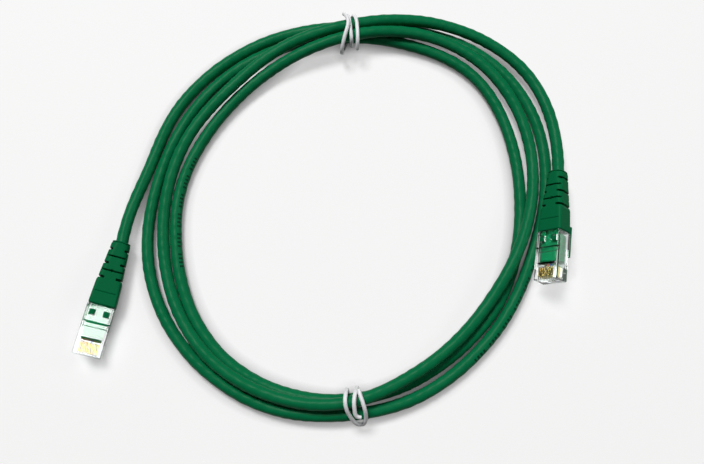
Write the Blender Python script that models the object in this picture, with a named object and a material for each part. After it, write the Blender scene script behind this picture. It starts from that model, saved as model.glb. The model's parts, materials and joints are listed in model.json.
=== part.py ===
"""Ethernet patch cable: one cord coiled about three and a half turns and held by two
twist ties, with a booted 8P8C plug on each end. Metres, +Z up, lying on z = 0."""

import math

import bmesh
import bpy
import numpy as np
from mathutils import Matrix, Vector
from mathutils.geometry import convex_hull_2d

MM = 0.001
GAP = 0.3 * MM  # clearance between pieces that touch

# The cord and its route
CORD_DIAMETER = 5.4 * MM
RING_CENTRE = Vector((6.4, -4.9, 0)) * MM  # middle of the coil, in the part's frame

# The coil, in mm: one row for each turn, one (radius, height of the cord's axis) for each
# 20 degrees clockwise from +Y. The rows join end to end into one winding, from plug A's
# side to plug B's side.
STATION_STEP = 20
COIL_START = 300
TURN_FROM_A = [(91.7, 2.8), (93.0, 2.7), (93.3, 3.0)]
TURN_ONE = [
    (92.7, 4.6), (97.1, 2.9), (101.0, 2.7), (98.4, 2.7), (90.5, 2.7), (83.2, 2.7),
    (81.0, 2.7), (81.0, 2.7), (82.7, 3.0), (84.1, 4.6), (86.8, 3.0), (87.9, 2.7),
    (88.2, 2.7), (87.0, 2.7), (84.9, 2.7), (85.4, 2.7), (87.1, 2.7), (87.6, 3.1),
]
TURN_TWO = [
    (87.2, 4.6), (89.2, 3.0), (90.4, 2.7), (84.5, 2.7), (78.6, 2.7), (76.0, 2.7),
    (75.5, 2.7), (74.9, 2.7), (76.2, 2.9), (78.1, 4.6), (79.2, 2.9), (79.2, 2.7),
    (76.9, 2.7), (74.5, 2.7), (74.2, 2.7), (73.9, 2.7), (75.4, 3.6), (79.2, 6.3),
]
TURN_THREE = [
    (84.8, 9.9), (93.1, 7.9), (95.8, 6.8), (91.6, 5.9), (83.9, 6.4), (76.4, 8.1),
    (71.9, 7.1), (71.6, 7.2), (74.3, 8.5), (79.6, 9.9), (82.1, 7.6), (83.1, 6.7),
    (81.7, 5.2), (79.7, 4.3), (79.2, 4.9), (79.4, 6.1), (79.9, 7.3), (84.8, 8.9),
]
TURN_TO_B = [(90.4, 10.0), (99.6, 8.3), (106.8, 6.0)]
COIL = TURN_FROM_A + TURN_ONE + TURN_TWO + TURN_THREE + TURN_TO_B

# The free ends, in mm from the ring's centre: from the coil's last station to the boot
TAIL_A = [(-94.9, -4.0, 6.0), (-92.0, 8.4, 4.6), (-87.4, 23.0, 3.2)]
TAIL_B = [(82.5, 69.0, 5.6), (90.7, 52.3, 6.3), (93.8, 33.7, 7.6)]
JOINS = (290, 1476)  # angles on the winding where the coil's solid takes the tails over
SECTION_SIDES = 12
SECTION_STEP = 6
UPPER_INSET = 0.8 * MM  # the solid's top lies this far inside the upper layer's cord
STEP_EDGE = 0.2

# Plugs: the 8P8C interface, with x along the cord to the nose and z to the contact side
PLUG_WIDTH = 11.68 * MM
PLUG_LENGTH = 21.5 * MM
PLUG_HEIGHT = 8.0 * MM
NOSE_HEIGHT = 7.0 * MM
NOSE_START = 7.4 * MM
CONTACT_PITCH = 1.02 * MM
CONTACT_SIZE = Vector((4.2, 0.4, 3.2)) * MM
CONTACT_CENTRE = Vector((18.2, 0, 1.95)) * MM
CONTACT_SLOT = 0.56 * MM
JACKET_END = 13.6 * MM
WIRE_DIAMETER = 0.86 * MM
WIRE_ROW_HEIGHT = -0.4 * MM
LATCH_HINGE = Vector((20.1, 0, -3.75)) * MM
LATCH_REST_ANGLE = math.radians(9.5)
LATCH_THICKNESS = 0.9 * MM
BOOT_LENGTH = 28.3 * MM
BOOT_BORE = CORD_DIAMETER + 2 * GAP
LUG_OFFSET = 2.95 * MM

# Where each plug's rear face centre lies, its nose's direction and its roll about that
PLUGS = {
    "plug_a": {"at": (-102.28, -39.5, 6.6), "nose": (-0.220, -0.976, 0.0), "roll": -15},
    "plug_b": {"at": (89.07, -8.8, 10.9), "nose": (-0.148, -0.987, 0.062), "roll": 48},
}

# Pin 1 to pin 8
WIRE_COLOURS = {
    "white_green": (0.62, 0.80, 0.64),
    "green": (0.02, 0.25, 0.08),
    "white_orange": (0.85, 0.72, 0.58),
    "blue": (0.02, 0.08, 0.45),
    "white_blue": (0.62, 0.70, 0.85),
    "orange": (0.80, 0.22, 0.02),
    "white_brown": (0.72, 0.62, 0.54),
    "brown": (0.16, 0.06, 0.02),
}

# Twist ties: (across, radius, height) in mm, across being +X at the ring's centre line
TIE_DIAMETER = 1.7 * MM
TIE_TOP = [
    (5.4, 78.6, 9.4), (5.6, 80.6, 12.6), (5.6, 84.2, 14.0), (5.4, 88.2, 13.8),
    (4.8, 92.0, 13.7),
    (3.9, 94.3, 11.7), (3.3, 95.9, 7.8), (3.1, 96.6, 4.8), (3.0, 95.8, 2.1),
    (3.0, 92.9, 0.94), (3.0, 89.8, 0.9), (3.0, 86.8, 0.94), (2.9, 84.3, 2.2),
    (2.9, 82.6, 5.6), (2.9, 81.4, 9.6), (2.8, 82.6, 12.6), (2.4, 86.4, 13.8),
    (1.9, 90.6, 13.8), (1.3, 93.8, 12.1), (1.0, 95.4, 8.2), (0.9, 96.4, 4.8),
    (0.8, 95.5, 2.1), (0.7, 92.6, 0.94), (0.5, 89.4, 0.9), (0.0, 86.2, 0.96),
    (-0.9, 82.4, 2.2), (-1.5, 78.8, 5.8), (-1.6, 77.8, 9.8), (-0.9, 80.2, 13.3),
    (0.4, 84.6, 15.3), (1.3, 88.8, 15.8), (0.7, 91.8, 15.5), (-0.2, 93.8, 14.0),
    (-0.6, 95.2, 11.8),
]
TIE_BOTTOM = [
    (5.8, 74.5, 13), (6.2, 76.1, 13.6), (7, 78.5, 13.8), (8.1, 81.9, 12.8),
    (8.7, 84.7, 9.9), (8.4, 86.8, 7), (7.4, 87.7, 5.3), (6, 87.8, 5.2), (4.6, 87.3, 6.5),
    (3.2, 86, 8.5), (1.6, 83.7, 11), (0.6, 81.2, 13.2), (0.3, 78.9, 13.8),
    (0.5, 76.4, 12.6), (0.8, 74.9, 9.4), (1, 73.8, 5), (1.1, 74.5, 2.1), (1.5, 77.2, 0.92),
    (2.6, 79.9, 0.9), (3.6, 81.5, 0.9), (4.5, 80.1, 0.9), (5, 77.1, 0.92), (5.2, 73.9, 2.1),
    (5.2, 73.1, 5), (4.9, 74.3, 9.4), (4.3, 76.1, 12.7), (3.9, 79.1, 13.9),
    (4.1, 82.5, 12.7), (5.1, 84.9, 11), (6.7, 85.3, 10.5),
]


def new_material(name, colour, roughness, metallic=0.0, transmission=0.0):
    made = bpy.data.materials.new(name)
    made.use_nodes = True
    shader = made.node_tree.nodes["Principled BSDF"]
    shader.inputs["Base Color"].default_value = (*colour, 1.0)
    shader.inputs["Roughness"].default_value = roughness
    shader.inputs["Metallic"].default_value = metallic
    shader.inputs["Transmission Weight"].default_value = transmission
    return made


def add_object(name, data, finish=None):
    made = bpy.data.objects.new(name, data)
    bpy.context.scene.collection.objects.link(made)
    if finish:
        data.materials.append(finish)
    return made


def mesh_from(name, bm):
    bmesh.ops.recalc_face_normals(bm, faces=bm.faces)
    mesh = bpy.data.meshes.new(name)
    bm.to_mesh(mesh)
    bm.free()
    return mesh


def boxes_mesh(name, boxes):
    """One mesh of separate boxes, each given by its lowest and highest corner in mm."""
    bm = bmesh.new()
    for low, high in boxes:
        low = Vector(low) * MM
        high = Vector(high) * MM
        size = Matrix.Diagonal((*(high - low), 1.0))
        place = Matrix.Translation((low + high) / 2) @ size
        bmesh.ops.create_cube(bm, size=1.0, matrix=place)
    return mesh_from(name, bm)


def cut(target, cutter, operation="DIFFERENCE"):
    cutter.parent = target.parent
    cutter.hide_render = True
    cutter.display_type = "WIRE"
    modifier = target.modifiers.new(cutter.name, "BOOLEAN")
    modifier.operation = operation
    modifier.solver = "EXACT"
    modifier.object = cutter


def spline(points, step):
    """Points about one step apart on the natural cubic spline through the given points."""
    points = np.array(points, float)
    chords = np.linalg.norm(np.diff(points, axis=0), axis=1)
    count = len(points)
    at = np.concatenate([[0.0], np.cumsum(chords)])
    system = np.eye(count)
    known = np.zeros_like(points)
    slopes = np.diff(points, axis=0) / chords[:, None]
    for i in range(1, count - 1):
        system[i, i - 1] = chords[i - 1]
        system[i, i] = 2 * (chords[i - 1] + chords[i])
        system[i, i + 1] = chords[i]
        known[i] = 6 * (slopes[i] - slopes[i - 1])
    bends = np.linalg.solve(system, known)
    wanted = np.linspace(0, at[-1], max(2, round(at[-1] / step) + 1))
    span = np.clip(np.searchsorted(at, wanted, side="right") - 1, 0, count - 2)
    before = (wanted - at[span])[:, None]
    after = (at[span + 1] - wanted)[:, None]
    wide = chords[span][:, None]
    cubic = (bends[span] * after**3 + bends[span + 1] * before**3) / (6 * wide)
    near = (points[span] / wide - bends[span] * wide / 6) * after
    far = (points[span + 1] / wide - bends[span + 1] * wide / 6) * before
    return cubic + near + far


def tube(name, points, diameter, resolution, finish):
    """A round tube through world points, with filled ends."""
    curve = bpy.data.curves.new(name, "CURVE")
    curve.dimensions = "3D"
    curve.bevel_depth = diameter / 2
    curve.bevel_resolution = resolution
    curve.use_fill_caps = True
    line = curve.splines.new("POLY")
    line.points.add(len(points) - 1)
    for slot, point in zip(line.points, points):
        slot.co = (*point, 1.0)
    line.use_smooth = True
    return add_object(name, curve, finish)


def plug_matrix(plug):
    """World placement of a plug's frame: x to the nose, z out of the contact face."""
    x = Vector(plug["nose"]).normalized()
    side = Vector((0, 0, 1)).cross(x).normalized()
    upright = Matrix((x, side, x.cross(side))).transposed().to_4x4()
    roll = Matrix.Rotation(math.radians(plug["roll"]), 4, "X")
    place = Matrix.Translation(RING_CENTRE + Vector(plug["at"]) * MM)
    return place @ upright @ roll


def ring_point(angle, radius, height):
    """A point given in mm and degrees clockwise from +Y about the ring's centre."""
    turn = math.radians(angle)
    flat = Vector((radius * math.sin(turn), radius * math.cos(turn), height))
    return RING_CENTRE + flat * MM


def coil_points():
    return [
        ring_point(COIL_START + STATION_STEP * i, radius, height)
        for i, (radius, height) in enumerate(COIL)
    ]


def cord_route():
    """The cord's whole route, from the jacket's end in plug A to its end in plug B."""
    ends = []
    for plug in PLUGS.values():
        frame = plug_matrix(plug)
        along = (JACKET_END, 0.0, -BOOT_LENGTH / 2, -BOOT_LENGTH)
        ends.append([frame @ Vector((x, 0, 0)) for x in along])
    tail_a = [RING_CENTRE + Vector(point) * MM for point in TAIL_A]
    tail_b = [RING_CENTRE + Vector(point) * MM for point in TAIL_B]
    return ends[0] + tail_a + coil_points() + tail_b + ends[1][::-1]


def winding_angles(route):
    """Each point's angle about the ring, counted on from turn to turn."""
    flat = route - np.array(RING_CENTRE)
    angles = np.unwrap(np.arctan2(flat[:, 0], flat[:, 1]))
    return np.degrees(angles) + 360


def coil_section(route, angles, angle, turns):
    """The coil's outline on one radial plane, as (radius, height) at even bearings."""
    flat = route - np.array(RING_CENTRE)
    radii = np.hypot(flat[:, 0], flat[:, 1])
    discs = []
    for turn in turns:
        there = angle + 360 * turn
        if JOINS[0] <= there <= JOINS[1]:
            radius = np.interp(there, angles, radii)
            discs.append((radius, np.interp(there, angles, flat[:, 2])))
    rim = []
    for radius, height in discs:
        reach = CORD_DIAMETER / 2
        if height > CORD_DIAMETER:
            reach -= UPPER_INSET
        for k in range(24):
            bearing = math.tau * k / 24
            rim.append((radius + reach * math.cos(bearing), height + reach * math.sin(bearing)))
    hull = [Vector(rim[i]) for i in convex_hull_2d(rim)]
    middle = sum((Vector(disc) for disc in discs), Vector((0, 0))) / len(discs)
    outline = []
    for k in range(SECTION_SIDES):
        bearing = math.tau * (k + 0.5) / SECTION_SIDES
        ray = Vector((math.cos(bearing), math.sin(bearing)))
        reach = math.inf
        for start, end in zip(hull, hull[1:] + hull[:1]):
            edge = end - start
            normal = Vector((edge.y, -edge.x))
            facing = ray.dot(normal)
            if facing * (start - middle).dot(normal) > 0:
                reach = min(reach, (start - middle).dot(normal) / facing)
        outline.append(middle + ray * reach)
    return outline


def even_angles(low, high):
    """The coil's sections between two steps, clear of both."""
    angles = range(0, 720, SECTION_STEP)
    return [angle for angle in angles if low + 2 < angle < high - 2]


def build_coil(route, finish):
    """One closed ring of the bundle's outer shape, with a step where each tail joins."""
    angles = winding_angles(route)
    bm = bmesh.new()
    rings = []
    step_in = JOINS[0]
    step_out = JOINS[1] % 360
    stops = [step_out + STEP_EDGE]
    stops += even_angles(step_out, step_in)
    stops += [step_in - STEP_EDGE, step_in]
    stops += even_angles(step_in, step_out + 360)
    stops += [step_out + 360]
    for stop in stops:
        outline = coil_section(route, angles, stop, range(-1, 5))
        turn = math.radians(stop)
        ring = []
        for radius, height in outline:
            spot = Vector((radius * math.sin(turn), radius * math.cos(turn), height))
            ring.append(bm.verts.new(RING_CENTRE + spot))
        rings.append(ring)
    for ring, after in zip(rings, rings[1:] + rings[:1]):
        for k in range(SECTION_SIDES):
            n = (k + 1) % SECTION_SIDES
            bm.faces.new((ring[k], ring[n], after[n], after[k]))
    coil = add_object("cord_coil", mesh_from("cord_coil", bm), finish)
    coil.data.shade_smooth()


def build_tails(route, finish):
    angles = winding_angles(route)
    slack = math.degrees(2 * GAP / 0.09)
    tail_a = route[angles < JOINS[0] - slack]
    tail_b = route[angles > JOINS[1] + 2.5 * slack]
    for name, points in (("cord_tail_a", tail_a), ("cord_tail_b", tail_b)):
        coarse = spline(points, 2.2 * CORD_DIAMETER)
        tube(name, coarse, CORD_DIAMETER, 3, finish)


def build_tie(name, points, outward, finish):
    """A plastic-coated wire wound twice round the bundle; outward is +1 on the far side."""
    world = []
    for across, radius, height in points:
        world.append(RING_CENTRE + Vector((across, outward * radius, height)) * MM)
    tube(name, spline(world, 1.2 * TIE_DIAMETER), TIE_DIAMETER, 2, finish)


def rounded_section(half_width, half_height, corner, per_corner=4):
    """A rounded rectangle's points, counter-clockwise seen from the nose."""
    outline = []
    for quarter, (sy, sz) in enumerate(((1, 1), (-1, 1), (-1, -1), (1, -1))):
        for k in range(per_corner):
            bearing = math.pi / 2 * (quarter + k / (per_corner - 1))
            y = sy * (half_width - corner) + corner * math.cos(bearing)
            z = sz * (half_height - corner) + corner * math.sin(bearing)
            outline.append((y, z))
    return outline


def build_boot(name, rig, finish):
    """Moulded boot: tapered strain relief with staggered slots, latch guard and two lugs."""
    stations = [
        (-28.3, 3.8, 3.8, 3.3),
        (-27.9, 3.95, 3.9, 3.2),
        (-19.5, 4.6, 4.0, 2.4),
        (-10.6, 5.35, 4.1, 1.5),
        (-5.0, 5.6, 4.1, 1.1),
        (-0.3, 5.75, 4.15, 1.0),
    ]
    bm = bmesh.new()
    rings = []
    for x, half_width, half_height, corner in stations:
        outline = rounded_section(half_width, half_height, corner)
        rings.append([bm.verts.new(Vector((x, y, z)) * MM) for y, z in outline])
    for ring, after in zip(rings, rings[1:]):
        for k in range(len(ring)):
            n = (k + 1) % len(ring)
            bm.faces.new((ring[k], ring[n], after[n], after[k]))
    bm.faces.new(rings[0][::-1])
    bm.faces.new(rings[-1])
    boot = add_object(name, mesh_from(name, bm), finish)
    boot.parent = rig

    fins = []
    arms = []
    lugs = []
    for side in (-1, 1):
        low, high = sorted((side * 4.5, side * 5.6))
        fins.append(((-8.0, low, -5.0), (10.2, high, -4.1)))
        low, high = sorted((side * 1.95, side * 3.95))
        arms.append(((-2.0, low, 1.9), (4.5, high, 2.6)))
        lugs.append(((2.45, low, 2.4), (4.5, high, 3.9)))
    roots = [((-7.6, low[1] + 0.1, -4.6), (-0.3, high[1] - 0.1, -3.4)) for low, high in fins]
    for label, boxes in (("fins", fins), ("fin_roots", roots), ("arms", arms), ("lugs", lugs)):
        helper = add_object(f"{name}_{label}", boxes_mesh(label, boxes))
        cut(boot, helper, "UNION")

    slots = []
    for row in range(5):
        x = -24.4 + 3.15 * row
        for side in (-1, 1):
            low, high = sorted((side * 2.4, side * 9.0))
            if row % 2 == 0:
                slots.append(((x - 0.45, low, -7.0), (x + 0.45, high, 7.0)))
            else:
                slots.append(((x - 0.35, -7.0, low), (x + 0.35, 7.0, high)))
    cut(boot, add_object(f"{name}_slots", boxes_mesh("slots", slots)))

    bore = bmesh.new()
    turn = Matrix.Rotation(math.pi / 2, 4, "Y")
    bmesh.ops.create_cone(
        bore,
        cap_ends=True,
        segments=20,
        radius1=BOOT_BORE / 2,
        radius2=BOOT_BORE / 2,
        depth=2.4 * BOOT_LENGTH,
        matrix=turn,
    )
    cut(boot, add_object(f"{name}_bore", mesh_from("bore", bore)))


def build_plug_body(name, rig, finish):
    """Clear housing: rear cavity for the jacket, wire channel, contact slots, windows."""
    width = PLUG_WIDTH / MM / 2
    top = PLUG_HEIGHT / MM / 2
    length = PLUG_LENGTH / MM
    outer = [((0, -width, -top), (length, width, top))]
    body = add_object(name, boxes_mesh(name, outer), finish)
    body.parent = rig
    soften = body.modifiers.new("edges", "BEVEL")
    soften.width = 0.35 * MM
    soften.segments = 2

    nose_floor = top - NOSE_HEIGHT / MM
    recess = [((NOSE_START / MM, -9, -9), (length + 1, 9, nose_floor))]
    cavity = [((-1, -4.6, -2.9), (15.8, 4.6, 2.9))]
    channel = [((15.0, -4.25, -1.0), (20.2, 4.25, 0.2))]
    notch = [((7.2, -4.2, 2.5), (8.0, 4.2, 5))]
    groove = [((7.2, -9, 3.5), (8.0, 9, 5))]
    windows = []
    for side in (-1, 1):
        middle = side * LUG_OFFSET / MM
        windows.append(((2.2, middle - 1.3, 2.5), (4.75, middle + 1.3, 5)))
    slots = []
    for pin in range(8):
        y = pin_offset(pin) / MM
        half = CONTACT_SLOT / MM / 2
        slots.append(((15.9, y - half, 0.1), (length + 1, y + half, 5)))
    parts = {
        "recess": recess,
        "cavity": cavity,
        "channel": channel,
        "notch": notch,
        "groove": groove,
        "windows": windows,
        "slots": slots,
    }
    for label, boxes in parts.items():
        cut(body, add_object(f"{name}_{label}", boxes_mesh(label, boxes)))


def pin_offset(pin):
    """Where a pin lies across the plug: pin 1 is at +y, looking at the contacts."""
    return (3.5 - pin) * CONTACT_PITCH


def build_contacts(name, rig, finish):
    for pin in range(8):
        bm = bmesh.new()
        size = Matrix.Diagonal((*CONTACT_SIZE, 1.0))
        bmesh.ops.create_cube(bm, size=1.0, matrix=size)
        blade = add_object(f"{name}_contact_{pin + 1}", mesh_from("blade", bm), finish)
        blade.location = CONTACT_CENTRE + Vector((0, pin_offset(pin), 0))
        blade.parent = rig
        soften = blade.modifiers.new("edges", "BEVEL")
        soften.width = 0.1 * MM
        soften.segments = 1


def build_wires(name, rig, frame, finishes):
    """Eight insulated conductors fanning from two rows at the jacket's end into one row."""
    start = JACKET_END + GAP
    for pin, (colour, finish) in enumerate(finishes.items()):
        bunched = (3.5 - pin) * 0.62 * MM
        lift = (0.55 if pin % 2 else -0.55) * MM
        spread = pin_offset(pin)
        line = [
            (start, bunched, WIRE_ROW_HEIGHT + lift),
            (start + 0.4 * MM, bunched, WIRE_ROW_HEIGHT + lift),
            (start + 1.2 * MM, (bunched + spread) / 2, WIRE_ROW_HEIGHT + lift * 0.6),
            (start + 2.0 * MM, spread, WIRE_ROW_HEIGHT),
            (19.9 * MM, spread, WIRE_ROW_HEIGHT),
        ]
        points = [frame @ Vector(point) for point in line]
        tube(f"{name}_wire_{pin + 1}_{colour}", points, WIRE_DIAMETER, 2, finish)


def build_latch(name, rig, finish):
    """Sprung leaf, joined near the nose; its object's origin is on the hinge's axis."""
    outline = [
        (0.4, 2.9), (-6.4, 2.9), (-6.4, 3.1), (-7.0, 3.1), (-7.6, 1.65), (-12.6, 1.65),
    ]
    outline += [(x, -y) for x, y in reversed(outline)]
    bm = bmesh.new()
    half = LATCH_THICKNESS / 2
    verts = [bm.verts.new((x * MM, y * MM, -half)) for x, y in outline]
    face = bm.faces.new(verts)
    grown = bmesh.ops.extrude_face_region(bm, geom=[face])
    lifted = [g for g in grown["geom"] if isinstance(g, bmesh.types.BMVert)]
    bmesh.ops.translate(bm, verts=lifted, vec=(0, 0, LATCH_THICKNESS))
    latch = add_object(name, mesh_from(name, bm), finish)
    latch.parent = rig
    latch.location = LATCH_HINGE
    latch.rotation_euler = (0, -LATCH_REST_ANGLE, 0)
    soften = latch.modifiers.new("edges", "BEVEL")
    soften.width = 0.2 * MM
    soften.segments = 1


def build_plug(name, plug, finishes, wire_finishes):
    frame = plug_matrix(plug)
    rig = bpy.data.objects.new(f"{name}_frame", None)
    bpy.context.scene.collection.objects.link(rig)
    rig.matrix_world = frame
    build_plug_body(f"{name}_body", rig, finishes["clear"])
    build_latch(f"{name}_latch", rig, finishes["clear"])
    build_boot(f"{name}_boot", rig, finishes["boot"])
    build_contacts(name, rig, finishes["gold"])
    build_wires(name, rig, frame, wire_finishes)


def main():
    for old in list(bpy.data.objects):
        bpy.data.objects.remove(old)
    finishes = {
        "jacket": new_material("jacket_green", (0.004, 0.14, 0.05), 0.38),
        "boot": new_material("boot_green", (0.004, 0.14, 0.05), 0.42),
        "clear": new_material("clear_plastic", (0.9, 0.93, 0.92), 0.08, 0.0, 0.85),
        "gold": new_material("contact_gold", (0.95, 0.72, 0.25), 0.22, 1.0),
        "tie": new_material("tie_white", (0.85, 0.86, 0.88), 0.4),
    }
    wire_finishes = {
        colour: new_material(f"wire_{colour}", value, 0.4)
        for colour, value in WIRE_COLOURS.items()
    }
    route = spline(cord_route(), 2 * MM)
    build_coil(route, finishes["jacket"])
    build_tails(route, finishes["jacket"])
    build_tie("tie_top", TIE_TOP, 1, finishes["tie"])
    build_tie("tie_bottom", TIE_BOTTOM, -1, finishes["tie"])
    for name, plug in PLUGS.items():
        build_plug(name, plug, finishes, wire_finishes)


main()
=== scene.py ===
"""Looks for the ethernet patch cable: a jacketed cord in a tied coil, moulded boots, clear
8P8C housings with gold contacts, coloured conductors, two coated twist ties."""

import json
import math

import bmesh
import bpy
import numpy as np
from mathutils import Matrix, Vector


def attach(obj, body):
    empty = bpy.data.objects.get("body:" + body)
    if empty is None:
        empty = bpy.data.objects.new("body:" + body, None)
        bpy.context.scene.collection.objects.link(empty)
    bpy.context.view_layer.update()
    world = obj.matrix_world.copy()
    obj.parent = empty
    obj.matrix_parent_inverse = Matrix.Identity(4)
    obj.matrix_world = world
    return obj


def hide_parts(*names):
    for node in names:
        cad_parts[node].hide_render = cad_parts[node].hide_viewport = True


MM = 0.001
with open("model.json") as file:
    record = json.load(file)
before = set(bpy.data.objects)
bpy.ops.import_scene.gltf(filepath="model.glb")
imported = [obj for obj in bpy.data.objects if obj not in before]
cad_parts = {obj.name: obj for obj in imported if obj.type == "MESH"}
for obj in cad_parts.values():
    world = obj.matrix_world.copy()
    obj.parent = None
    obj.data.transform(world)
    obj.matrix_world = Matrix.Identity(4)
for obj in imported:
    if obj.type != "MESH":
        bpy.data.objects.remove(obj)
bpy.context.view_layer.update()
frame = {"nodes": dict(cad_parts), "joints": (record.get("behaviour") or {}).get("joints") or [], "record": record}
RECORD = frame["record"]

# ---------------------------------------------------------------- driving dimensions
CORD_DIAMETER = 5.4 * MM
RING_CENTRE = Vector((6.4, -4.9, 0)) * MM
JACKET_END = 13.6 * MM  # how far the jacket reaches into a housing
LATCH_HINGE = Vector((20.1, 0, -3.75)) * MM  # in a plug's own frame
BOOT_LENGTH = 28.3 * MM
PLUG_LENGTH = 21.5 * MM
PLUG_WIDTH = 11.68 * MM
PLUG_HEIGHT = 8.0 * MM

# The cord's route, as in the part: (radius, height) in mm every 20 degrees clockwise from
# +Y, then the free ends' points from the ring's centre
STATION_STEP = 20
COIL_START = 300
TURN_FROM_A = [(91.7, 2.8), (93.0, 2.7), (93.3, 3.0)]
TURN_ONE = [
    (92.7, 4.6), (97.1, 2.9), (101.0, 2.7), (98.4, 2.7), (90.5, 2.7), (83.2, 2.7),
    (81.0, 2.7), (81.0, 2.7), (82.7, 3.0), (84.1, 4.6), (86.8, 3.0), (87.9, 2.7),
    (88.2, 2.7), (87.0, 2.7), (84.9, 2.7), (85.4, 2.7), (87.1, 2.7), (87.6, 3.1),
]
TURN_TWO = [
    (87.2, 4.6), (89.2, 3.0), (90.4, 2.7), (84.5, 2.7), (78.6, 2.7), (76.0, 2.7),
    (75.5, 2.7), (74.9, 2.7), (76.2, 2.9), (78.1, 4.6), (79.2, 2.9), (79.2, 2.7),
    (76.9, 2.7), (74.5, 2.7), (74.2, 2.7), (73.9, 2.7), (75.4, 3.6), (79.2, 6.3),
]
TURN_THREE = [
    (84.8, 9.9), (93.1, 7.9), (95.8, 6.8), (91.6, 5.9), (83.9, 6.4), (76.4, 8.1),
    (71.9, 7.1), (71.6, 7.2), (74.3, 8.5), (79.6, 9.9), (82.1, 7.6), (83.1, 6.7),
    (81.7, 5.2), (79.7, 4.3), (79.2, 4.9), (79.4, 6.1), (79.9, 7.3), (84.8, 8.9),
]
TURN_TO_B = [(90.4, 10.0), (99.6, 8.3), (106.8, 6.0)]
COIL = TURN_FROM_A + TURN_ONE + TURN_TWO + TURN_THREE + TURN_TO_B
TAIL_A = [(-94.9, -4.0, 6.0), (-92.0, 8.4, 4.6), (-87.4, 23.0, 3.2)]
TAIL_B = [(82.5, 69.0, 5.6), (90.7, 52.3, 6.3), (93.8, 33.7, 7.6)]

# The jacket's surface: four twisted pairs cabled together press outwards through it
JACKET_SIDES = 40
JACKET_STEP = 0.8 * MM
CABLE_LAY = 96 * MM
PAIR_LAYS = (4.3 * MM, 4.9 * MM, 5.6 * MM, 6.4 * MM)
PAIR_RELIEF = 0.17 * MM
PAIR_REACH = 0.55  # radians
PAIR_PHASE = 1.7  # radians between one pair's bumps and the next one's

# Where a housing clamps it, the jacket's section is flattened, with full corners
CLAMP_REACH = 4 * MM  # from the plug's axis
CLAMP_POWER = 5
SQUASH_RUN = 2.0 * MM  # behind a housing's rear face the jacket is round
SQUASH_WIDE = 4.45 * MM
SQUASH_UNDER_ARMS = 1.8 * MM  # half height on the side where the boot's arms lie
SQUASH_HIGH = 2.75 * MM  # half height beyond the arms, and on the other side
ARMS_END = 4.7 * MM

# The cord's printed marking: groups of plain ticks on a band that turns slowly about the
# jacket. Lengths are in metres along the cord
PRINT_START = 0.3715
PRINT_EVERY = 0.7395
PRINT_LENGTH = 0.052
PRINT_TICK = 0.0018  # from one tick to the next
TICK_INKED = 0.5  # of that
TICKS_IN_GROUP = 4
TICKS_TO_NEXT_GROUP = 5.1
BAND_START = 0.13  # turns about the jacket
BAND_DRIFT = 0.25  # turns, from one marking to the next
BAND_HALF = 0.055  # turns
INK_COVER = 0.75
UV_LENGTH = 0.1  # metres of cord in one unit of U

# Boot sections from rear to front: (x, half width, half height, corner) in mm
BOOT_STATIONS = [
    (-28.3, 3.55, 3.55, 3.3), (-28.05, 3.82, 3.82, 3.4), (-27.75, 3.9, 3.86, 3.3),
    (-27.65, 3.4, 3.4, 3.1), (-27.4, 3.4, 3.4, 3.1), (-27.3, 3.97, 3.9, 3.2),
    (-19.5, 4.5, 4.0, 2.4), (-10.9, 5.15, 4.08, 1.6), (-10.5, 5.38, 4.12, 1.5),
    (-5.0, 5.6, 4.12, 1.2), (-0.7, 5.75, 4.15, 1.1), (-0.3, 5.6, 4.0, 1.0),
]
BOOT_SLOTS = [-24.4, -21.25, -18.1, -14.95, -11.8]
BOOT_DETAIL = 0.16 * MM
BOOT_BORE = 5.8 * MM

# What is cut from a boot or stands on it, in mm in its plug's frame
SLOT_FLOOR = 2.4  # from the axis to the bottom of a slot
SIDE_SLOT = 0.45  # half a slot's width along the cord
FACE_SLOT = 0.3
SLOT_WEB = 0.8  # half the wall that a side slot leaves in the middle of the side
BITE_DEPTH = 0.75  # how far that wall is sunk
BITE_REACH = 1.2
COLLAR_FRONT = -27.3
COLLAR_HALF = 3.97
TAPER = 0.072  # the side's half width grows by this for each mm towards the nose
PANEL_BACK = -5.65
PANEL_LINE = 0.4
PANEL_HALF = 4.4
PANEL_FLOOR = 3.7
PANEL_EDGE = 0.16  # half the width of a panel's side lines
DIMPLE_RADIUS = 0.85
DIMPLE_CENTRE = 4.3  # from the axis
FIN_ACROSS = (4.5, 5.6)
ARM_ACROSS = (1.95, 3.95)
FAR = 9.0  # past the surface on any side

# The housing's cuts, in mm in its plug's frame
PINS = 8
PIN_PITCH = 1.016
WINDOW_ACROSS = (1.65, 4.25)
PIN_SLOT = 0.28  # half its width
EDGE_ROUND = 0.4 * MM
GROOVE_FLARE = 0.3  # a groove widens by this above the face
GROOVE_RISE = 0.5

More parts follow.
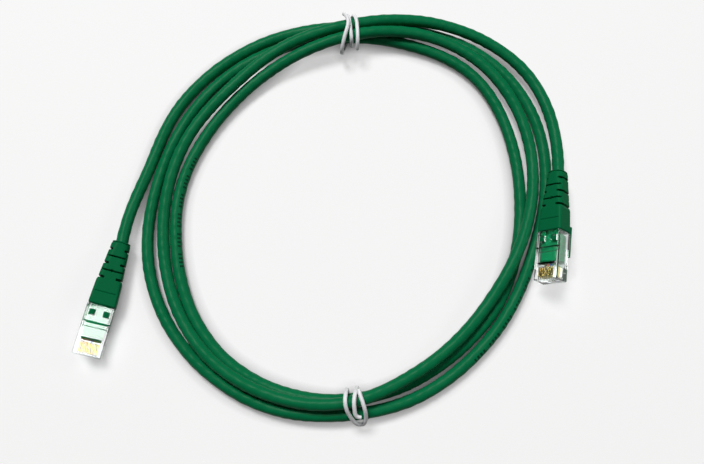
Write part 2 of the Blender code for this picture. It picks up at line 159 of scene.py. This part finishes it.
# Twist ties: (across, radius, height) in mm, as in the part
TIE_DIAMETER = 1.7 * MM
TIE_STEP = 0.4 * MM
TIE_TOP = [
    (5.4, 78.6, 9.4), (5.6, 80.6, 12.6), (5.6, 84.2, 14.0), (5.4, 88.2, 13.8),
    (4.8, 92.0, 13.7), (3.9, 94.3, 11.7), (3.3, 95.9, 7.8), (3.1, 96.6, 4.8),
    (3.0, 95.8, 2.1), (3.0, 92.9, 0.94), (3.0, 89.8, 0.9), (3.0, 86.8, 0.94),
    (2.9, 84.3, 2.2), (2.9, 82.6, 5.6), (2.9, 81.4, 9.6), (2.8, 82.6, 12.6),
    (2.4, 86.4, 13.8), (1.9, 90.6, 13.8), (1.3, 93.8, 12.1), (1.0, 95.4, 8.2),
    (0.9, 96.4, 4.8), (0.8, 95.5, 2.1), (0.7, 92.6, 0.94), (0.5, 89.4, 0.9),
    (0.0, 86.2, 0.96), (-0.9, 82.4, 2.2), (-1.5, 78.8, 5.8), (-1.6, 77.8, 9.8),
    (-0.9, 80.2, 13.3), (0.4, 84.6, 15.3), (1.3, 88.8, 15.8), (0.7, 91.8, 15.5),
    (-0.2, 93.8, 14.0), (-0.6, 95.2, 11.8),
]
TIE_BOTTOM = [
    (5.8, 74.5, 13), (6.2, 76.1, 13.6), (7, 78.5, 13.8), (8.1, 81.9, 12.8),
    (8.7, 84.7, 9.9), (8.4, 86.8, 7), (7.4, 87.7, 5.3), (6, 87.8, 5.2), (4.6, 87.3, 6.5),
    (3.2, 86, 8.5), (1.6, 83.7, 11), (0.6, 81.2, 13.2), (0.3, 78.9, 13.8),
    (0.5, 76.4, 12.6), (0.8, 74.9, 9.4), (1, 73.8, 5), (1.1, 74.5, 2.1), (1.5, 77.2, 0.92),
    (2.6, 79.9, 0.9), (3.6, 81.5, 0.9), (4.5, 80.1, 0.9), (5, 77.1, 0.92), (5.2, 73.9, 2.1),
    (5.2, 73.1, 5), (4.9, 74.3, 9.4), (4.3, 76.1, 12.7), (3.9, 79.1, 13.9),
    (4.1, 82.5, 12.7), (5.1, 84.9, 11), (6.7, 85.3, 10.5),
]

PLUG_NAMES = ("plug_a", "plug_b")
WIRE_COLOURS = {
    "white_green": (0.62, 0.80, 0.64),
    "green": (0.02, 0.25, 0.08),
    "white_orange": (0.85, 0.72, 0.58),
    "blue": (0.02, 0.08, 0.45),
    "white_blue": (0.62, 0.70, 0.85),
    "orange": (0.80, 0.22, 0.02),
    "white_brown": (0.72, 0.62, 0.54),
    "brown": (0.16, 0.06, 0.02),
}
JACKET_GREEN = (0.0030, 0.160, 0.058)
BOOT_GREEN = (0.0030, 0.135, 0.048)
PRINT_INK = (0.001, 0.012, 0.006)
LAMPS_THROUGH_CLEAR = (0.86, 0.87, 0.87)

# Stage: the paper under the cord shows part light from the lamps, part its own glow, and a painted contact shadow
# where that glow is darkened near the things lying on it
FLOOR_DRAWN = 0.42
FLOOR_GLOW = 0.535
FLOOR_TO_OBJECT = 0.04  # how much of it lights the object
FLOOR_DROP = 0.1 * MM
CONTACT_SHADE_REACH = 5 * MM  # its glow fades this near to something, a painted contact shadow
# how sharply that painted contact shadow darkens
CONTACT_SHADE_POWER = 1.2
AIR_LIGHT = 0.025
LAMPS = {  # direction from the origin, distance, size, power in watts
    "key": ((-0.24, 0.42, 0.88), 2.6, 0.9, 57.0),
    "side": ((0.80, 0.20, 0.55), 1.6, 0.5, 3.5),
    "overhead": ((0.094, -0.079, 0.985), 0.99, 0.16, 0.55),
}
CAMERA_PLACE = (0.00946, -0.0995, 0.3332)
CAMERA_TILT = math.radians(15)
CAMERA_LENS = 40


# ---------------------------------------------------------------- geometry helpers
def spline(points, step):
    """Points about one step apart on the natural cubic spline through the given points."""
    points = np.array(points, float)
    chords = np.linalg.norm(np.diff(points, axis=0), axis=1)
    count = len(points)
    at = np.concatenate([[0.0], np.cumsum(chords)])
    system = np.eye(count)
    known = np.zeros_like(points)
    slopes = np.diff(points, axis=0) / chords[:, None]
    for i in range(1, count - 1):
        system[i, i - 1] = chords[i - 1]
        system[i, i] = 2 * (chords[i - 1] + chords[i])
        system[i, i + 1] = chords[i]
        known[i] = 6 * (slopes[i] - slopes[i - 1])
    bends = np.linalg.solve(system, known)
    wanted = np.linspace(0, at[-1], max(2, round(at[-1] / step) + 1))
    span = np.clip(np.searchsorted(at, wanted, side="right") - 1, 0, count - 2)
    before = (wanted - at[span])[:, None]
    after = (at[span + 1] - wanted)[:, None]
    wide = chords[span][:, None]
    cubic = (bends[span] * after**3 + bends[span + 1] * before**3) / (6 * wide)
    near = (points[span] / wide - bends[span] * wide / 6) * after
    far = (points[span + 1] / wide - bends[span + 1] * wide / 6) * before
    return cubic + near + far


def arc_lengths(line):
    steps = np.linalg.norm(np.diff(line, axis=0), axis=1)
    return np.concatenate([[0.0], np.cumsum(steps)])


def smooth_step(value):
    value = np.clip(value, 0.0, 1.0)
    return value * value * (3 - 2 * value)


def plug_frame(name):
    """A plug's placement, from its latch's hinge and its nose: x to the nose, z to the contacts."""
    mount = next(m for m in RECORD["mounts"] if m["name"] == f"{name}_nose")
    joint = next(j for j in frame["joints"] if j["name"] == f"{name}_latch_press")
    x = Vector(mount["axis"]).normalized()
    y = Vector(joint["axis"]).normalized()
    turn = Matrix((x, y, x.cross(y))).transposed()
    return Matrix.Translation(Vector(joint["pos_m"]) - turn @ LATCH_HINGE) @ turn.to_4x4()


PLUG_FRAMES = {name: plug_frame(name) for name in PLUG_NAMES}


def ring_point(angle, radius, height):
    """A point given in mm and degrees clockwise from +Y about the ring's centre."""
    turn = math.radians(angle)
    flat = Vector((radius * math.sin(turn), radius * math.cos(turn), height))
    return RING_CENTRE + flat * MM


def cord_route():
    """The cord's whole route, from the jacket's end in plug A to its end in plug B."""
    ends = []
    for place in PLUG_FRAMES.values():
        along = (JACKET_END, 0.0, -BOOT_LENGTH / 2, -BOOT_LENGTH)
        ends.append([place @ Vector((x, 0, 0)) for x in along])
    coil = [ring_point(COIL_START + STATION_STEP * i, *row) for i, row in enumerate(COIL)]
    tail_a = [RING_CENTRE + Vector(point) * MM for point in TAIL_A]
    tail_b = [RING_CENTRE + Vector(point) * MM for point in TAIL_B]
    return ends[0] + tail_a + coil + tail_b + ends[1][::-1]


def add_object(name, data, finish):
    made = bpy.data.objects.new(name, data)
    bpy.context.scene.collection.objects.link(made)
    data.materials.append(finish)
    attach(made, "cable")
    return made


def spokes(line, sides):
    """Each ring's unit directions: the first is up, and a quarter turn on is to the line's
    left as seen from above."""
    tangents = np.gradient(line, axis=0)
    tangents /= np.linalg.norm(tangents, axis=1)[:, None]
    left = np.cross([0.0, 0.0, 1.0], tangents)
    left /= np.linalg.norm(left, axis=1)[:, None]
    up = np.cross(tangents, left)
    angles = (np.arange(sides) * math.tau / sides)[None, :, None]
    return left[:, None] * np.sin(angles) + up[:, None] * np.cos(angles)


def tube_mesh(name, line, radius):
    """A closed tube of rings about the line, with a radius for each ring and spoke. Its map
    "along" has the length along the line in U, and the turn about it in V."""
    count, sides = radius.shape
    verts = (line[:, None] + spokes(line, sides) * radius[..., None]).reshape(-1, 3)
    lengths = arc_lengths(line) / UV_LENGTH
    faces = []
    spots = []
    for i in range(count - 1):
        for k in range(sides):
            n = (k + 1) % sides
            faces.append((i * sides + k, (i + 1) * sides + k, (i + 1) * sides + n, i * sides + n))
            for ring, spoke in ((i, k), (i + 1, k), (i + 1, k + 1), (i, k + 1)):
                spots.append((lengths[ring], spoke / sides))
    faces.append(tuple(range(sides)))
    faces.append(tuple((count - 1) * sides + k for k in reversed(range(sides))))
    spots += [(0.0, 0.0)] * (2 * sides)
    mesh = bpy.data.meshes.new(name)
    mesh.from_pydata(verts.tolist(), [], faces)
    mesh.shade_smooth()
    layer = mesh.uv_layers.new(name="along")
    layer.data.foreach_set("uv", np.array(spots, np.float32).ravel())
    return mesh


# ---------------------------------------------------------------- materials
def shader_of(material):
    return material.node_tree.nodes["Principled BSDF"]


def new_material(name, colour, roughness, metallic=0.0, transmission=0.0, ior=1.5, gloss=0.5):
    made = bpy.data.materials.new(name)
    made.use_nodes = True
    shader = shader_of(made)
    shader.inputs["Specular IOR Level"].default_value = gloss
    shader.inputs["Base Color"].default_value = (*colour, 1.0)
    shader.inputs["Roughness"].default_value = roughness
    shader.inputs["Metallic"].default_value = metallic
    shader.inputs["Transmission Weight"].default_value = transmission
    shader.inputs["IOR"].default_value = ior
    return made


def math_node(nodes, links, operation, *inputs):
    """A Math node whose inputs are sockets or numbers; returns its output."""
    made = nodes.new("ShaderNodeMath")
    made.operation = operation
    for slot, value in zip(made.inputs, inputs):
        if isinstance(value, (int, float)):
            slot.default_value = value
        else:
            links.new(value, slot)
    return made.outputs[0]


def print_marks(material):
    """Darkens groups of ticks along one side of the jacket, turning slowly about it."""
    nodes, links = material.node_tree.nodes, material.node_tree.links

    def op(operation, *inputs):
        return math_node(nodes, links, operation, *inputs)

    spot = nodes.new("ShaderNodeUVMap")
    spot.uv_map = "along"
    split = nodes.new("ShaderNodeSeparateXYZ")
    links.new(spot.outputs["UV"], split.inputs[0])
    along = op("MULTIPLY", split.outputs["X"], UV_LENGTH)
    turns = op("DIVIDE", op("SUBTRACT", along, PRINT_START), PRINT_EVERY)
    run = op("MULTIPLY", op("FRACT", turns), PRINT_EVERY)
    middle = op("SUBTRACT", BAND_START, op("MULTIPLY", turns, BAND_DRIFT))
    about = op("FRACT", op("SUBTRACT", split.outputs["Y"], middle))
    from_far_side = op("ABSOLUTE", op("SUBTRACT", about, 0.5))
    band = op("GREATER_THAN", from_far_side, 0.5 - BAND_HALF)
    within = op("LESS_THAN", run, PRINT_LENGTH)
    group = op("MODULO", run, TICKS_TO_NEXT_GROUP * PRINT_TICK)
    grouped = op("LESS_THAN", group, TICKS_IN_GROUP * PRINT_TICK)
    tick = op("LESS_THAN", op("MODULO", group, PRINT_TICK), TICK_INKED * PRINT_TICK)
    inked = op("MULTIPLY", op("MULTIPLY", band, within), op("MULTIPLY", grouped, tick))
    mix = nodes.new("ShaderNodeMix")
    mix.data_type = "RGBA"
    links.new(op("MULTIPLY", inked, INK_COVER), mix.inputs["Factor"])
    mix.inputs["A"].default_value = (*JACKET_GREEN, 1)
    mix.inputs["B"].default_value = (*PRINT_INK, 1)
    links.new(mix.outputs["Result"], shader_of(material).inputs["Base Color"])


def let_lamps_through(material):
    """Makes a clear material cast only a faint shadow."""
    nodes, links = material.node_tree.nodes, material.node_tree.links
    through = nodes.new("ShaderNodeBsdfTransparent")
    through.inputs["Color"].default_value = (*LAMPS_THROUGH_CLEAR, 1)
    path = nodes.new("ShaderNodeLightPath")
    mix = nodes.new("ShaderNodeMixShader")
    links.new(path.outputs["Is Shadow Ray"], mix.inputs["Fac"])
    links.new(shader_of(material).outputs[0], mix.inputs[1])
    links.new(through.outputs[0], mix.inputs[2])
    links.new(mix.outputs[0], nodes["Material Output"].inputs["Surface"])


jacket_finish = new_material("pvc_jacket", JACKET_GREEN, 0.36, gloss=0.055)
print_marks(jacket_finish)
boot_finish = new_material("pvc_boot", BOOT_GREEN, 0.36, gloss=0.02)
clear_finish = new_material(
    "clear_polycarbonate", (0.94, 0.975, 0.965), 0.03, transmission=1.0, ior=1.58
)
let_lamps_through(clear_finish)
gold_finish = new_material("gold_plate", (0.92, 0.76, 0.26), 0.22, metallic=1.0)
tie_finish = new_material("tie_coating", (0.90, 0.905, 0.92), 0.42)
wire_finishes = {}
for name, colour in WIRE_COLOURS.items():
    wire_finishes[name] = new_material(f"wire_{name}", colour, 0.4)


# ---------------------------------------------------------------- the cord
def jacket_radius(line):
    """The jacket's radius at each point of the line: round, with the pairs' relief, and
    pressed flat where the housings clamp it."""
    along = arc_lengths(line)
    angles = np.arange(JACKET_SIDES) * math.tau / JACKET_SIDES
    radius = np.full((len(line), JACKET_SIDES), CORD_DIAMETER / 2 - PAIR_RELIEF)
    for pair, lay in enumerate(PAIR_LAYS):
        crest = math.tau * (pair / 4 + along / CABLE_LAY)
        away = (angles[None] - crest[:, None] + math.pi) % math.tau - math.pi
        bump = 0.5 + 0.5 * np.cos(math.tau * along / lay + PAIR_PHASE * pair)
        radius += PAIR_RELIEF * np.exp(-((away / PAIR_REACH) ** 2)) * bump[:, None]
    directions = spokes(line, JACKET_SIDES)
    for place in PLUG_FRAMES.values():
        turn = np.array(place.to_3x3())
        inside = (line - np.array(place.translation)) @ turn
        near = np.linalg.norm(inside[:, 1:], axis=1) < CLAMP_REACH
        pressed = smooth_step(inside[:, 0] / SQUASH_RUN) * near
        lifted = smooth_step((inside[:, 0] - ARMS_END) / SQUASH_RUN)
        upper = SQUASH_UNDER_ARMS + (SQUASH_HIGH - SQUASH_UNDER_ARMS) * lifted
        local = directions @ turn
        high = np.where(local[..., 2] > 0, upper[:, None], SQUASH_HIGH)
        across = np.abs(local[..., 1] / SQUASH_WIDE) ** CLAMP_POWER
        upward = np.abs(local[..., 2] / high) ** CLAMP_POWER
        flat = (across + upward) ** (-1 / CLAMP_POWER)
        radius += (flat - radius) * pressed[:, None]
    return radius


def build_cord():
    line = spline(cord_route(), JACKET_STEP)
    mesh = tube_mesh("cord", line, jacket_radius(line))
    cord = add_object("cord", mesh, jacket_finish)
    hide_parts("cord_coil", "cord_tail_a", "cord_tail_b")
    return cord, line


def build_tie(name, points, outward):
    """One coated wire; outward is 1 at the ring's +Y side and -1 at its -Y side."""
    world = [RING_CENTRE + Vector((a, outward * r, h)) * MM for a, r, h in points]
    line = spline(world, TIE_STEP)
    curve = bpy.data.curves.new(name, "CURVE")
    curve.dimensions = "3D"
    curve.bevel_depth = TIE_DIAMETER / 2
    curve.bevel_resolution = 6
    curve.use_fill_caps = True
    run = curve.splines.new("POLY")
    run.points.add(len(line) - 1)
    for slot, point in zip(run.points, line):
        slot.co = (*point, 1.0)
    run.use_smooth = True
    tie = add_object(f"{name}_wire", curve, tie_finish)
    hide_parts(name)
    return tie


def boxes_mesh(name, boxes):
    """One mesh of separate boxes, each given by its lowest and highest corner in mm."""
    bm = bmesh.new()
    for low, high in boxes:
        low = Vector(low) * MM
        high = Vector(high) * MM
        place = Matrix.Translation((low + high) / 2) @ Matrix.Diagonal((*(high - low), 1.0))
        bmesh.ops.create_cube(bm, size=1.0, matrix=place)
    return mesh_from(name, bm)


def mesh_from(name, bm):
    bmesh.ops.recalc_face_normals(bm, faces=bm.faces)
    mesh = bpy.data.meshes.new(name)
    bm.to_mesh(mesh)
    bm.free()
    return mesh


def rounded_section(half_width, half_height, corner, per_corner=9):
    """A rounded rectangle's points, counter-clockwise seen from the nose."""
    outline = []
    for quarter, (sy, sz) in enumerate(((1, 1), (-1, 1), (-1, -1), (1, -1))):
        for k in range(per_corner):
            bearing = math.pi / 2 * (quarter + k / (per_corner - 1))
            y = sy * (half_width - corner) + corner * math.cos(bearing)
            z = sz * (half_height - corner) + corner * math.sin(bearing)
            outline.append((y, z))
    return outline


def boot_blank():
    bm = bmesh.new()
    rings = []
    for x, half_width, half_height, corner in BOOT_STATIONS:
        outline = rounded_section(half_width, half_height, corner)
        rings.append([bm.verts.new(Vector((x, y, z)) * MM) for y, z in outline])
    for ring, after in zip(rings, rings[1:]):
        for k in range(len(ring)):
            n = (k + 1) % len(ring)
            bm.faces.new((ring[k], ring[n], after[n], after[k]))
    bm.faces.new(rings[0][::-1])
    bm.faces.new(rings[-1])
    return mesh_from("boot_blank", bm)


def slot_cutters():
    """Staggered slots: odd rows cross the two faces, and even rows cross the sides but for a
    sunk wall in each side's middle."""
    slots, bites = [], []
    for row, x in enumerate(BOOT_SLOTS):
        for side in (-1, 1):
            low, high = sorted((side * SLOT_FLOOR, side * FAR))
            if row % 2:
                slots.append(((x - FACE_SLOT, -7.0, low), (x + FACE_SLOT, 7.0, high)))
                continue
            back, front = x - SIDE_SLOT, x + SIDE_SLOT
            slots.append(((back, low, SLOT_WEB), (front, high, 7.0)))
            slots.append(((back, low, -7.0), (front, high, -SLOT_WEB)))
            wall = COLLAR_HALF + TAPER * (x - COLLAR_FRONT) - BITE_DEPTH
            low, high = sorted((side * wall, side * FAR))
            bites.append(((back, low, -BITE_REACH), (front, high, BITE_REACH)))
    return [boxes_mesh("slots", slots), boxes_mesh("bites", bites)]


def panel_cutters():
    """The panel's lines on both faces, from its back line to the boot's front."""
    across, along = [], []
    for side in (-1, 1):
        low, high = sorted((side * PANEL_FLOOR, side * 5.0))
        front = PANEL_BACK + PANEL_LINE
        across.append(((PANEL_BACK, -PANEL_HALF, low), (front, PANEL_HALF, high)))
        for edge in (-PANEL_HALF, PANEL_HALF):
            left, right = edge - PANEL_EDGE, edge + PANEL_EDGE
            along.append(((PANEL_BACK, left, low), (1.0, right, high)))
    return [boxes_mesh("lines_across", across), boxes_mesh("lines_along", along)]


def round_cutters():
    """The dimple on both faces, and the bore that the cord runs through."""
    dimples = bmesh.new()
    for side in (-1, 1):
        place = Matrix.Translation(Vector((BOOT_SLOTS[3], 0, side * DIMPLE_CENTRE)) * MM)
        bmesh.ops.create_uvsphere(
            dimples, u_segments=16, v_segments=10, radius=DIMPLE_RADIUS * MM, matrix=place
        )
    bore = bmesh.new()
    bmesh.ops.create_cone(
        bore,
        cap_ends=True,
        segments=40,
        radius1=BOOT_BORE / 2,
        radius2=BOOT_BORE / 2,
        depth=70 * MM,
        matrix=Matrix.Rotation(math.pi / 2, 4, "Y"),
    )
    return [mesh_from("dimples", dimples), mesh_from("bore", bore)]


def boot_joined():
    """The latch guard's fins and their roots, and the arms and lugs that clip into a housing."""
    fins, roots, arms, lugs = [], [], [], []
    for side in (-1, 1):
        low, high = sorted(side * edge for edge in FIN_ACROSS)
        fins.append(((-3.5, low, -5.0), (10.2, high, -4.1)))
        roots.append(((-3.3, low + 0.1, -4.6), (-0.3, high - 0.1, -3.4)))
        low, high = sorted(side * edge for edge in ARM_ACROSS)
        arms.append(((-2.0, low, 1.9), (4.5, high, 2.6)))
        lugs.append(((2.45, low, 2.4), (4.5, high, 3.9)))
    named = (("fins", fins), ("roots", roots), ("arms", arms), ("lugs", lugs))
    return [boxes_mesh(label, boxes) for label, boxes in named]


def carved(blank, joined, cutters, finish_steps):
    """The blank with meshes joined on and others cut away, as one plain mesh."""
    body = bpy.data.objects.new("blank", blank)
    helpers = [body]
    for operation, meshes in (("UNION", joined), ("DIFFERENCE", cutters)):
        for mesh in meshes:
            helper = bpy.data.objects.new(mesh.name, mesh)
            helpers.append(helper)
            step = body.modifiers.new(mesh.name, "BOOLEAN")
            step.operation = operation
            step.solver = "EXACT"
            step.object = helper
    finish_steps(body.modifiers)
    for helper in helpers:
        bpy.context.scene.collection.objects.link(helper)
    graph = bpy.context.evaluated_depsgraph_get()
    made = bpy.data.meshes.new_from_object(body.evaluated_get(graph))
    for helper in helpers:
        bpy.data.objects.remove(helper)
    return made


def boot_mesh():
    """The boot in its plug's frame, its edges softened as on a moulding."""

    def soften(modifiers):
        even = modifiers.new("even", "REMESH")
        even.mode = "VOXEL"
        even.voxel_size = BOOT_DETAIL
        smooth = modifiers.new("soften", "SMOOTH")
        smooth.factor = 0.5
        smooth.iterations = 3

    cutters = slot_cutters() + panel_cutters() + round_cutters()
    made = carved(boot_blank(), boot_joined(), cutters, soften)
    made.shade_smooth()
    return made


def groove_mesh(name, back, front, depth, half_width):
    """A V-shaped groove's cutter across the housing's contact face, in mm."""
    face = PLUG_HEIGHT / 2 / MM
    rim = face + GROOVE_RISE
    middle = (back + front) / 2
    profile = [(back - GROOVE_FLARE, rim), (middle, face - depth), (front + GROOVE_FLARE, rim)]
    bm = bmesh.new()
    rows = []
    for y in (-half_width, half_width):
        rows.append([bm.verts.new(Vector((x, y, z)) * MM) for x, z in profile])
    bm.faces.new(rows[0])
    bm.faces.new(rows[1][::-1])
    for k in range(3):
        n = (k + 1) % 3
        bm.faces.new((rows[0][k], rows[1][k], rows[1][n], rows[0][n]))
    return mesh_from(name, bm)


def housing_mesh():
    """The clear housing in its plug's frame, as the part's, with the clamp's notch, a mould
    line and the wire window as V-shaped grooves."""
    windows = []
    for side in (-1, 1):
        low, high = sorted(side * edge for edge in WINDOW_ACROSS)
        windows.append(((2.2, low, 2.5), (4.75, high, 5)))
    slots = []
    for pin in range(PINS):
        y = ((PINS - 1) / 2 - pin) * PIN_PITCH
        slots.append(((15.9, y - PIN_SLOT, 0.1), (23, y + PIN_SLOT, 5)))
    bm = bmesh.new()
    size = Matrix.Diagonal((PLUG_LENGTH, PLUG_WIDTH, PLUG_HEIGHT, 1.0))
    place = Matrix.Translation((PLUG_LENGTH / 2, 0, 0)) @ size
    bmesh.ops.create_cube(bm, size=1.0, matrix=place)
    bmesh.ops.bevel(
        bm, geom=bm.edges[:], offset=EDGE_ROUND, segments=3, profile=0.5, affect="EDGES"
    )
    cutters = [
        boxes_mesh("recess", [((7.4, -9, -9), (23, 9, -3.0))]),
        boxes_mesh("cavity", [((-1, -4.6, -2.9), (15.8, 4.6, 2.9))]),
        boxes_mesh("channel", [((15.0, -4.25, -1.0), (20.2, 4.25, 0.2))]),
        groove_mesh("notch", 7.1, 8.1, 0.8, 9.0),
        boxes_mesh("clamp", [((7.35, -4.2, 2.5), (7.85, 4.2, 5))]),
        groove_mesh("mould_line", 9.45, 9.75, 0.25, 5.0),
        groove_mesh("wire_window", 13.9, 15.4, 0.9, 4.3),
        boxes_mesh("windows", windows),
        boxes_mesh("slots", slots),
    ]
    return carved(mesh_from("housing_blank", bm), [], cutters, lambda modifiers: None)


def build_boots():
    pattern = boot_mesh()
    boots = {}
    for name, place in PLUG_FRAMES.items():
        mesh = pattern.copy()
        mesh.transform(place)
        boots[name] = add_object(f"{name}_moulded_boot", mesh, boot_finish)
        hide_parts(f"{name}_boot")
    return boots


def build_housings():
    pattern = housing_mesh()
    housings = {}
    for name, place in PLUG_FRAMES.items():
        mesh = pattern.copy()
        mesh.transform(place)
        housings[name] = add_object(f"{name}_housing", mesh, clear_finish)
        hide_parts(f"{name}_body")
    return housings


def finish_cad_nodes():
    for name, node in frame["nodes"].items():
        if "contact" in name:
            finish = gold_finish
        elif "wire" in name:
            finish = wire_finishes[name.split("_", 4)[4]]
        elif "boot" in name:
            finish = boot_finish
        else:
            finish = clear_finish
        node.data.materials.clear()
        node.data.materials.append(finish)


# ---------------------------------------------------------------- stage
def floor_finish():
    """Paper that glows, but little towards the object, and less close to where it lies: a painted contact shadow.
    """
    finish = new_material("floor_paper", (0.90, 0.90, 0.89), 0.7, gloss=0.2)
    nodes, links = finish.node_tree.nodes, finish.node_tree.links
    shader = shader_of(finish)
    to_object = nodes.new("ShaderNodeLightPath").outputs["Is Diffuse Ray"]
    dim = nodes.new("ShaderNodeMix")
    dim.data_type = "RGBA"
    dim.inputs["A"].default_value = (FLOOR_DRAWN, FLOOR_DRAWN, FLOOR_DRAWN, 1)
    dim.inputs["B"].default_value = (FLOOR_TO_OBJECT, FLOOR_TO_OBJECT, FLOOR_TO_OBJECT, 1)
    links.new(to_object, dim.inputs["Factor"])
    links.new(dim.outputs["Result"], shader.inputs["Base Color"])
    # Painted contact shadow: ambient occlusion darkens the glow near the cord, boots and ties
    near = nodes.new("ShaderNodeAmbientOcclusion")
    near.inputs["Distance"].default_value = CONTACT_SHADE_REACH
    near.samples = 8
    shade = math_node(nodes, links, "POWER", near.outputs["AO"], CONTACT_SHADE_POWER)
    glow = math_node(nodes, links, "SUBTRACT", 1.0, to_object)
    glow = math_node(nodes, links, "MULTIPLY", glow, FLOOR_GLOW)
    glow = math_node(nodes, links, "MULTIPLY", glow, shade)
    shader.inputs["Emission Color"].default_value = (1.0, 1.0, 0.995, 1)
    links.new(glow, shader.inputs["Emission Strength"])
    return finish


def build_floor():
    bpy.ops.mesh.primitive_plane_add(size=6.0, location=(0, 0, -FLOOR_DROP))
    floor = bpy.context.object
    floor.name = "floor"
    floor.data.materials.append(floor_finish())


def build_air():
    """White where the camera sees past the floor, and a faint light on everything else."""
    world = bpy.data.worlds.new("studio")
    bpy.context.scene.world = world
    world.use_nodes = True
    nodes, links = world.node_tree.nodes, world.node_tree.links
    backdrop = nodes["Background"]
    backdrop.inputs["Color"].default_value = (1, 1, 1, 1)
    to_camera = nodes.new("ShaderNodeLightPath").outputs["Is Camera Ray"]
    seen = math_node(nodes, links, "MAXIMUM", to_camera, AIR_LIGHT)
    links.new(seen, backdrop.inputs["Strength"])


def build_lamps():
    for name, (direction, distance, size, power) in LAMPS.items():
        light = bpy.data.lights.new(name, "AREA")
        light.shape = "DISK"
        light.size = size
        light.energy = power
        lamp = bpy.data.objects.new(name, light)
        bpy.context.scene.collection.objects.link(lamp)
        toward = Vector(direction).normalized()
        lamp.location = toward * distance
        lamp.rotation_mode = "QUATERNION"
        lamp.rotation_quaternion = toward.to_track_quat("Z", "Y")


def build_camera():
    camera = bpy.data.cameras.new("camera")
    camera.lens = CAMERA_LENS
    camera.sensor_width = 36
    camera.clip_start = 0.01
    holder = bpy.data.objects.new("camera", camera)
    bpy.context.scene.collection.objects.link(holder)
    holder.location = CAMERA_PLACE
    holder.rotation_euler = (CAMERA_TILT, 0, 0)
    bpy.context.scene.camera = holder


bpy.context.scene.view_settings.view_transform = "Standard"
finish_cad_nodes()
build_floor()
build_air()
build_lamps()
build_camera()
cord, cord_line = build_cord()
ties = [build_tie("tie_top", TIE_TOP, 1), build_tie("tie_bottom", TIE_BOTTOM, -1)]
boots = build_boots()
housings = build_housings()
